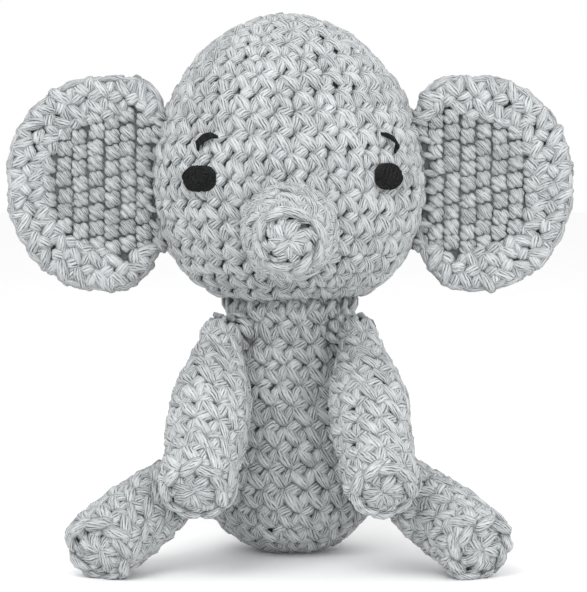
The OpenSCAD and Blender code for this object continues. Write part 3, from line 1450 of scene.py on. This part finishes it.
@dataclass
class Limb:
    """A tube worked from a flat round end to a gathered root.

    Attributes:
        basket: The stitches and finishes.
        name: The limb's name, such as left_arm, which is also its body's.
        seam_body: The body that its sewing rides on.
        root: The root ball's radius.
        full: The radius at the fullest place.
        full_at: Where that is, from the root.
        end: The radius at the flat end.
        length: From the root's middle to the end.
        cap: Depth of the end's rounded edge.
        base: The root's middle.
        way: From the root to the end.
        seed: The seed of its unevenness.
        inset: How far the stitches' middle lies under the surface.
        disc: The end disc's radius, as a share of the end.
        ridge: Bits of yarn in the cord round the disc.
        turn_in: How far the stuffed end turns inward, in degrees.
        turn_up: How far it turns up, in degrees.
        blunt: How late the tube narrows, from 0 to 1.
        corner: How square the end's edge is; 2 is an ellipse.
        bend_from: Where the end begins to turn, as a share of the length.
        heart: How far before the end the turn's middle lies.
        petals: Wedges in the end's disc.
        cord: Height and depth of the cord round the disc.
        cord_out: How far the cord stands out.
        first: How far after the cord the first round lies.
        pitch: Distance between rounds.
        slant: How far each round's stitches shift, in stitches.
    """

    basket: Basket
    name: str
    seam_body: str
    root: float
    full: float
    full_at: float
    end: float
    length: float
    cap: float
    base: Array
    way: Array
    seed: int
    inset: float = 1.4
    disc: float = 0.8
    ridge: int = 9
    turn_in: float = 0.0
    turn_up: float = 0.0
    blunt: float = 0.0
    corner: float = 2.6
    bend_from: float = 0.4
    heart: float = 8.0
    petals: int = 5
    cord: tuple[float, float] = (7.4, 6.2)
    cord_out: float = 1.05
    first: float = 3.5
    pitch: float = 5.7
    slant: float = 0.3

    def radius(self, t: float) -> float:
        """The tube's radius at a distance from the root.

        Args:
            t: The distance.

        Returns:
            The radius.
        """
        if t < self.full_at:
            return self.root + (self.full - self.root) * smooth(t / self.full_at)
        u = (t - self.full_at) / (self.length - self.cap - self.full_at)
        soft = (self.end - self.full) * (1 - self.blunt) * smooth(u)
        return self.full + soft + (self.end - self.full) * self.blunt * u**2.6

    def surface(self) -> Round:
        """The fabric from the end's middle to the root.

        Returns:
            The surface.
        """
        line = []
        bent = 2 / self.corner
        for a in (90, 86, 80, 72, 63, 54, 45, 36, 27, 18, 9, 0):
            c, s = math.sin(math.radians(90 - a)), math.sin(math.radians(a))
            line.append((self.end * c**bent, self.length - self.cap + self.cap * s**bent))
        for t in np.linspace(self.length - self.cap, 0, 28)[1:]:
            line.append((self.radius(t), t))
        for a in np.radians(np.linspace(0, 80, 8)[1:]):
            line.append((self.root * math.cos(a), -self.root * math.sin(a)))
        return Round(drawn_in(np.array(line), self.inset, -1), self.base, self.way)

    def crochet(self) -> None:
        """Work the limb: its end disc, the cord round it and the rounds up to the root."""
        cloth = self.surface()
        wedges, singles, bridges, loops = Places(), Places(), Places(), Places()
        rim = self.disc * (self.end - self.inset)
        edge = cloth.reach(rim)
        width, between = TURN * rim / self.ridge, 0.74
        petal, strand = (0.92 * rim, 0.86 * rim, 5.2), (1.25 * between * width, 5.0, 5.6)
        cloth.ring(wedges, 0.36 * rim, self.petals, petal, 0.1, 1.0)
        cloth.ring(bridges, between * rim, self.ridge, strand, 0.1, 0.9)
        cloth.ring(loops, edge, self.ridge, (width, *self.cord), self.cord_out, 0.6)
        start = edge + self.first
        counts = cloth.pattern(start, self.pitch, width=self.pitch)
        cloth.rounds(singles, bridges, counts, start, self.pitch, self.slant)
        layers = [
            (Kind.WEDGE, wedges), (Kind.SINGLE, singles), (Kind.BRIDGE, bridges), (Kind.LOOP, loops)
        ]
        piece = self.basket.piece(f"{self.name}_crochet", layers, cloth.lining(LINED, 44, 36), self.seed)
        middle = self.base + self.way * self.length * 0.5
        moved(piece.data, self.bent, stuffed(middle, 0.3, self.seed), pressed)
        settle(piece, self.name, [f"{self.name}_cover", f"{self.name}_filling"])

    def bent(self, co: Array) -> Array:
        """Turn the stuffed end a little inward and up.

        Args:
            co: Corners in millimetres.

        Returns:
            The new corners.
        """
        side = -math.copysign(1.0, self.way[0]) if abs(self.way[0]) > 0.01 else 0.0
        turn = Matrix.Rotation(math.radians(side * self.turn_in), 3, "Z")
        level = np.cross(self.way, UP)
        turn = np.array(turn @ Matrix.Rotation(math.radians(self.turn_up), 3, Vector(level)))
        heart = self.base + self.way * (self.length - self.heart)
        run = (co - self.base) @ self.way / self.length
        share = np.clip((run - self.bend_from) / (1 - self.bend_from), 0, 1)
        share = (share * share * (3 - 2 * share))[:, None]
        return co + share * ((co - heart) @ turn.T + heart - co)

    def sewn(self, kind: Kind, places: Places, lining: bpy.types.Mesh | None, *changes: Callable) -> None:
        """Make the sewing's piece from its stitches.

        Args:
            kind: The kind of stitch.
            places: Where they go.
            lining: The inner side, if it has one.
            *changes: What moves its corners.
        """
        piece = self.basket.piece(f"{self.name}_sewing", [(kind, places)], lining, self.seed + 40)
        moved(piece.data, *changes)
        settle(piece, self.seam_body, [f"{self.name}_seam"])

    def collar(self, count: int, radius: float) -> None:
        """The gathered end of the root, drawn to the body and whip-stitched all round.

        Args:
            count: How many stitches.
            radius: The collar's radius.
        """
        back = unit(np.array([-self.base[0], -self.base[1], 0.0]))
        near, far = math.sqrt(self.root**2 - radius**2) - 0.8, self.root + 3.0
        deep = far - near
        line = np.array([
            (0.0, near),
            (0.6 * radius, near),
            (radius - 0.9, near + 0.4),
            (radius - 1.1, near + 0.5 * deep),
            (radius - 0.2, far - 0.6),
            (0.5 * radius, far),
            (0.0, far),
        ])
        cross = unit(np.cross(back, UP))
        up = np.cross(cross, back)
        size = (1.25 * TURN * radius / count, 1.05 * deep, 4.4)
        rng = np.random.default_rng(self.seed + 80)
        places = Places()
        for j in range(count):
            a = TURN * (j + 0.2 * rng.uniform(-1, 1)) / count
            side = math.cos(a) * cross + math.sin(a) * up
            spot = self.base + (0.5 * (near + far) - 0.2) * back + (radius - 0.3) * side
            places.add(spot, side, unit(back + 0.35 * np.cross(back, side)), size)
        self.sewn(Kind.BRIDGE, places, Round(line, self.base, back).lining(0.0, 14, 24))

    def sewing(self, count: int, spread: float, centre: Triple) -> None:
        """Whip stitches round the place where the root meets its neighbour.

        Args:
            count: How many stitches.
            spread: The ring's half angle about the line to the neighbour, in degrees.
            centre: The neighbour's middle, which the ring faces.
        """
        back = unit(np.array(centre, float) - self.base)
        cross = unit(np.cross(back, UP))
        up = np.cross(cross, back)
        c, s = math.cos(math.radians(spread)), math.sin(math.radians(spread))
        places = Places()
        for a in (TURN * j / count for j in range(count)):
            side = math.cos(a) * cross + math.sin(a) * up
            n = unit(c * back + s * side)
            places.add(self.base + (self.root + 0.6) * n, n, unit(s * back - c * side), ROOT_SIZE)
        self.sewn(Kind.WHIP, places, None, pressed)


@dataclass
class Ear:
    """A flat ear: rows of stitches inside a border of two bigger rounds, on both faces.

    Attributes:
        head: The head that it is sewn on.
        side: The toy's left or right.
        centre: The middle of its widest place, with x as on the left side.
        half_w: From there to the outer edge.
        half_h: Half its height.
        seed: The seed of its unevenness.
        reach_in: From its middle to where it would end inside the head.
        thick: Its thickness.
        dish: How hollow its front is.
        cell: Size of the stitches in the rows.
        border: Size of the stitches in the border.
        clear: How far border stitches may reach over the line where it meets the head.
        powers: How square the outline is outside, inside above and inside below; 2 is an ellipse.
        bowl: How far out its hollow reaches, as a share.
        sewn: From its middle up or down to where its sewing ends.
        corner: From its middle up or down to where the border turns toward the head.
    """

    head: Head
    side: Side
    centre: Triple
    half_w: float
    half_h: float
    seed: int
    reach_in: float = 18.0
    thick: float = 5.0
    dish: float = 0.7
    cell: float = 4.4
    border: float = 5.6
    clear: float = 0.6
    powers: Triple = (2.05, 5.0, 2.9)
    bowl: float = 0.55
    sewn: float = 17.5
    corner: float = 19.0

    def inner_edge(self, z: float) -> float:
        """How far from the toy's middle the ear meets the head at height z.

        Args:
            z: The height.

        Returns:
            The distance.
        """
        low, high = self.head.middle - self.head.chin, self.head.middle + self.head.crown
        r = self.head.side(z) if low < z < high else 0.0
        return math.sqrt(max(r * r - self.centre[1] ** 2, 0.0)) + 0.6

    def power(self, across: float, up: float) -> float:
        """How square the outline is: an oval outside, squarer where it nears the head."""
        return self.powers[0 if across > 0 else 1 if up > 0 else 2]

    def outline(self, a: float, inset: float) -> tuple[float, float]:
        """A point of the ear's outline.

        Args:
            a: The angle from the toy's side, in radians.
            inset: How far inside the outline.

        Returns:
            The distance from the toy's middle and the height.
        """
        c, s = math.cos(a), math.sin(a)
        bent = 2 / self.power(c, s)
        half = (self.half_w if c > 0 else self.reach_in) - inset
        x = half * math.copysign(abs(c) ** bent, c)
        z = (self.half_h - inset) * math.copysign(abs(s) ** bent, s)
        return self.centre[0] + x, self.centre[2] + z

    def inside(self, x: float, z: float, inset: float) -> bool:
        """Whether a point lies inside the outline by at least an inset.

        Args:
            x: How far from the toy's middle.
            z: The height.
            inset: How far inside.

        Returns:
            True if it does.
        """
        u, v = x - self.centre[0], z - self.centre[2]
        power = self.power(u, v)
        half = self.half_w - inset if u > 0 else self.reach_in + 8.0
        return abs(u / half) ** power + abs(v / (self.half_h - inset)) ** power < 1

    def depth(self, x: float, z: float, front: int) -> float:
        """How far a face lies from the ear's mid plane.

        Args:
            x: How far from the toy's middle.
            z: The height.
            front: 1 on the front, -1 on the back.

        Returns:
            The distance.
        """
        u, v = max(x - self.centre[0], 0.0) / self.half_w, (z - self.centre[2]) / self.half_h
        s = min(u * u + v * v, 1.0)
        rim = math.sqrt(max(1 - s**4, 0.0))
        if front > 0:
            hollow = self.dish * (1 - min(s / self.bowl, 1.0) ** 1.5)
        else:
            hollow = -0.3 * self.dish * (1 - s)
        return (self.thick / 2 - 1.2) * rim - hollow

    def face(self, x: float, z: float, front: int) -> tuple[Array, Array]:
        """A point on one face of the ear, and that face's outward direction.

        Args:
            x: How far from the toy's middle.
            z: The height.
            front: 1 on the front, -1 on the back.

        Returns:
            The point and the direction.
        """
        h, s = 0.6, self.side.value
        gx = (self.depth(x + h, z, front) - self.depth(x - h, z, front)) / (2 * h)
        gz = (self.depth(x, z + h, front) - self.depth(x, z - h, front)) / (2 * h)
        point = np.array([s * x, self.centre[1] - front * self.depth(x, z, front), z])
        return point, unit(np.array([-s * gx, -float(front), -gz]))

    def rows(self, places: Places, front: int) -> None:
        """Lay the rows inside the border, turned at the end of each row.

        Args:
            places: The list to add to.
            front: 1 on the front, -1 on the back.
        """
        inset = 2 * self.border - 1.2
        right = self.centre[0] + self.half_w - inset
        size = (self.cell * 1.04, self.cell * 1.04, 5.4)
        for i in range(int(60 / self.cell)):
            x = right - (i + 0.35) * self.cell
            for j in range(-9, 10):
                z = self.centre[2] + (j + 0.25 * (i % 2)) * self.cell
                if x >= self.inner_edge(z) - 1.4 and self.inside(x, z, inset):
                    p, n = self.face(x, z, front)
                    places.add(p, n, UP if i % 2 else -UP, size)

    def edge(self, inset: float) -> tuple[Array, Array]:
        """The outline at an inset, as points, and how far along it each lies."""
        line = np.array([self.outline(float(a), inset) for a in np.linspace(-math.pi, math.pi, 721)])
        return line, along(line)

    def on_edge(self, line: Array, run: Array, here: float) -> tuple[float, float, Array]:
        """A point of the edge and the way out of it.

        Args:
            line: The edge's points.
            run: How far along it each lies.
            here: How far along it the wanted point lies.

        Returns:
            Its distance from the toy's middle, its height and the way out.
        """
        (x0, x, x1), (z0, z, z1) = (
            [float(np.interp(here + step, run, line[:, k])) for step in (-STEP, 0.0, STEP)] for k in (0, 1)
        )
        return x, z, unit(np.array([self.side.value * (z1 - z0), 0.0, x0 - x1]))

    def rim(
        self, places: Places, bridges: Places, inset: float, front: int, size: float, lift: float
    ) -> None:
        """Lay one round of the border.

        Args:
            places: The list to add to.
            bridges: The list for the strands that cross to the round inside.
            inset: How far inside the outline it lies.
            front: 1 on the front, -1 on the back.
            size: The stitches' size.
            lift: How far they stand off the face.
        """
        line, run = self.edge(inset)
        count = round(run[-1] / size)
        width = run[-1] / count
        s = self.side.value
        for j in range(count):
            for part, shift in ((places, 0.5), (bridges, 1.0)):
                x, z, out = self.on_edge(line, run, (j + shift) % count * width)
                if part is bridges:
                    x, z = x - 0.5 * size * s * out[0], z - 0.5 * size * out[2]
                level = abs(z - self.centre[2]) < self.corner
                hidden = s * out[0] < -0.5 and (inset > self.border or level)
                if x >= self.inner_edge(z) - self.clear and not hidden:
                    p, n = self.face(x, z, front)
                    part.add(p + lift * n, n, out - (out @ n) * n, (width * 1.06, size * 0.98, size * 1.1))

    def chain(self, loops: Places, inset: float, lift: float) -> None:
        """Lay the chain of loops that runs round the very edge.

        Args:
            loops: The list to add to.
            inset: How far inside the outline it lies.
            lift: How far in front of the ear's middle.
        """
        line, run = self.edge(inset)
        count = round(run[-1] / self.border)
        work = np.array([0.0, -math.copysign(1.0, lift), 0.0])
        for j in range(count):
            x, z, out = self.on_edge(line, run, (j + 0.5) / count * run[-1])
            if x > self.inner_edge(z) - self.clear:
                spot = np.array([self.side.value * x, self.centre[1] - lift, z])
                loops.add(spot, unit(out + 0.5 * work), work, (self.border, *CHAIN_SIZE))

    def slab(self) -> bpy.types.Mesh:
        """The ear's inside, seen only between stitches; it takes the lining's painted shade.

        Returns:
            The mesh, in metres.
        """
        steps = 64
        corners = []
        for front in (1, -1):
            for k in range(steps):
                x, z = self.outline(TURN * k / steps, 2.4)
                x = self.side.value * max(x, self.inner_edge(z) - 1.2)
                corners.append((x * MM, (self.centre[1] - front * 0.15) * MM, z * MM))
        ends = [list(range(steps)), list(range(steps, 2 * steps))[::-1]]
        mesh = bpy.data.meshes.new("slab")
        mesh.from_pydata(corners, [], ends + [face[::-1] for face in bands(1, steps)])
        if self.side is Side.LEFT:
            mesh.flip_normals()
        return mesh

    def crochet(self) -> None:
        """Work the ear on both faces."""
        flat, edge, bridges, loops = Places(), Places(), Places(), Places()
        for front in (1, -1):
            self.rows(flat, front)
            self.rim(edge, bridges, 0.5 * self.border, front, self.border, 0.6)
            self.rim(edge, bridges, 1.45 * self.border, front, self.border * 0.96, 0.2)
            self.chain(loops, 1.5, 1.05 * front)
        layers = [(Kind.BACK, flat), (Kind.SINGLE, edge), (Kind.BRIDGE, bridges), (Kind.LOOP, loops)]
        name = f"{self.side.word}_ear"
        piece = self.head.basket.piece(f"{name}_crochet", layers, self.slab(), self.seed, 0.16)
        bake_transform(piece)
        settle(piece, None, [name])

    def sewing(self) -> None:
        """Whip stitches down the sewn edge."""
        s = self.side.value
        places = Places()
        for up in (4.7 * (j - 4.4) for j in range(10)):
            if abs(up) > self.sewn:
                continue
            z = self.centre[2] + up
            for front in (1, -1):
                p = np.array([s * (self.inner_edge(z) + 0.3), self.centre[1] - front * 2.2, z])
                n = unit(np.array([s * 0.55, -front * 0.83, 0.0]))
                places.add(p, n, unit(np.array([s * 0.83, front * 0.55, 0.12])), SEAM_SIZE)
        name = f"{self.side.word}_ear"
        piece = self.head.basket.piece(f"{name}_sewing", [(Kind.WHIP, places)], None, self.seed + 60)
        settle(piece, "head", [f"{name}_seam"])


# ---------------------------------------------------------------------------- the studio


@dataclass
class Studio:
    """A pale floor, soft light all round and a camera in front of the toy."""

    distance: float = 650.0
    height: float = 105.0
    aim: tuple[float, float] = (0.98, 71.4)
    lens: float = 141.2
    floor_half: float = 6.0

    def camera(self) -> None:
        """Set the camera in front of the toy at the height of its eyes."""
        data = bpy.data.cameras.new("camera")
        data.lens = self.lens
        data.clip_start, data.clip_end = 0.01, 100.0
        camera = bpy.data.objects.new("camera", data)
        camera.location = (self.aim[0] * MM, -self.distance * MM, self.height * MM)
        look = Vector((self.aim[0], 0.0, self.aim[1])) * MM - camera.location
        camera.rotation_euler = look.to_track_quat("-Z", "Y").to_euler()
        bpy.context.scene.collection.objects.link(camera)
        bpy.context.scene.camera = camera

    def light(self) -> None:
        """Bright even surroundings with two large soft lights above and in front."""
        world = bpy.data.worlds.new("studio")
        world.use_nodes = True
        around = world.node_tree.nodes["Background"]
        around.inputs["Color"].default_value = (1.0, 1.0, 1.0, 1.0)
        around.inputs["Strength"].default_value = 1.0
        bpy.context.scene.world = world
        lamps = (("key", (-0.35, -0.8, 0.9), 0.7, 6.5), ("fill", (0.5, -0.9, 0.25), 0.9, 5.3))
        for name, place, size, power in lamps:
            data = bpy.data.lights.new(name, "AREA")
            data.size, data.energy = size, power
            lamp = bpy.data.objects.new(name, data)
            lamp.location = place
            look = Vector((0, 0, 0.07)) - Vector(place)
            lamp.rotation_euler = look.to_track_quat("-Z", "Y").to_euler()
            bpy.context.scene.collection.objects.link(lamp)
        bpy.context.scene.view_settings.view_transform = "Standard"

    def floor(self) -> None:
        """A wide pale floor."""
        w = self.floor_half
        mesh = bpy.data.meshes.new("floor")
        mesh.from_pydata([(-w, -w, 0), (w, -w, 0), (w, w, 0), (-w, w, 0)], [], [[0, 1, 2, 3]])
        mesh.materials.append(FloorFinish().material())
        floor = bpy.data.objects.new("floor", mesh)
        bpy.context.scene.collection.objects.link(floor)


def pivot(frame: dict, joint: str) -> Array:
    """A joint's place in millimetres."""
    return next(np.array(j["pos_m"], float) / MM for j in frame["joints"] if j["name"] == joint)


def grey_parts(basket: Basket, head: Head, frame: dict) -> None:
    """Make the trunk, then the arm, leg and ear of each side.

    Args:
        basket: The stitches and finishes.
        head: The head that trunk and ears are sewn on.
        frame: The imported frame.
    """
    trunk = Limb(
        basket, "trunk", "trunk_root", root=13.0, full=12.4, full_at=11.6, end=7.8, length=33.0, cap=4.0,
        base=pivot(frame, "trunk_sway"), way=direction(0, 4), seed=23, disc=0.92, ridge=8, blunt=0.9,
    )
    trunk.crochet()
    trunk.sewing(14, 80, (0, 0, 91))
    for side in Side:
        s, word = side.value, side.word
        arm = Limb(
            basket, f"{word}_arm", f"{word}_shoulder", root=5.5, full=11.0, full_at=27.4, end=9.8,
            length=57.0, cap=5.0, base=pivot(frame, f"{word}_arm_spread"), way=direction(8, 44, s),
            seed=31 + s, turn_up=11.0,
        )
        arm.crochet()
        arm.collar(9, 4.9)
        leg = Limb(
            basket, f"{word}_leg", f"{word}_hip", root=8.0, full=10.3, full_at=24.9, end=9.99,
            length=41.5, cap=5.0, base=pivot(frame, f"{word}_leg_spread"), way=direction(42, 25, s),
            seed=37 + s, turn_in=17.0, turn_up=6.0,
        )
        leg.crochet()
        leg.collar(13, 6.8)
        ear = Ear(head, side, (52.2, -6.0, 102.8), 26.2, 29.7, 51 + s)
        ear.crochet()
        ear.sewing()


def main() -> None:
    """Build the studio and every part of the toy in order."""
    logging.basicConfig(level=logging.INFO, format="%(name)s: %(message)s")
    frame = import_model()
    studio = Studio()
    studio.camera()
    studio.light()
    studio.floor()
    grey = YarnFinish("grey cotton yarn", (0.60, 0.625, 0.635), (0.085, 0.092, 0.097))
    # the lining's near-black colours are painted shade for the holes between the stitches
    inner = LiningFinish("inside of the crochet", (0.17, 0.177, 0.18), (0.07, 0.073, 0.076))
    black = YarnFinish(
        "black cotton thread", (0.002, 0.002, 0.002), (0.04, 0.041, 0.042),
        plies=5, relief=0.0001, sheen=0.0, gloss=0.08,
    )
    basket = Basket(Stitches(), grey.material(), inner.material(), black.material())
    body = Body(basket)
    body.crochet()
    head = Head(basket)
    head.crochet()
    body.neck_sewing()
    right_brow = [(-24.6, 111.9), (-24.6, 113.8), (-22.8, 115.3), (-20.9, 115.9), (-18.9, 115.3)]
    Face(head, Side.RIGHT, (-24.1, 104.3), 5.7, 3.6, right_brow, 7).embroider()
    left_brow = [(24.4, 116.3), (26.3, 115.8), (27.9, 114.9), (28.9, 113.3), (28.1, 111.2)]
    Face(head, Side.LEFT, (26.2, 104.9), 4.9, 3.6, left_brow, 8).embroider()
    grey_parts(basket, head, frame)


if __name__ == "__main__":
    main()
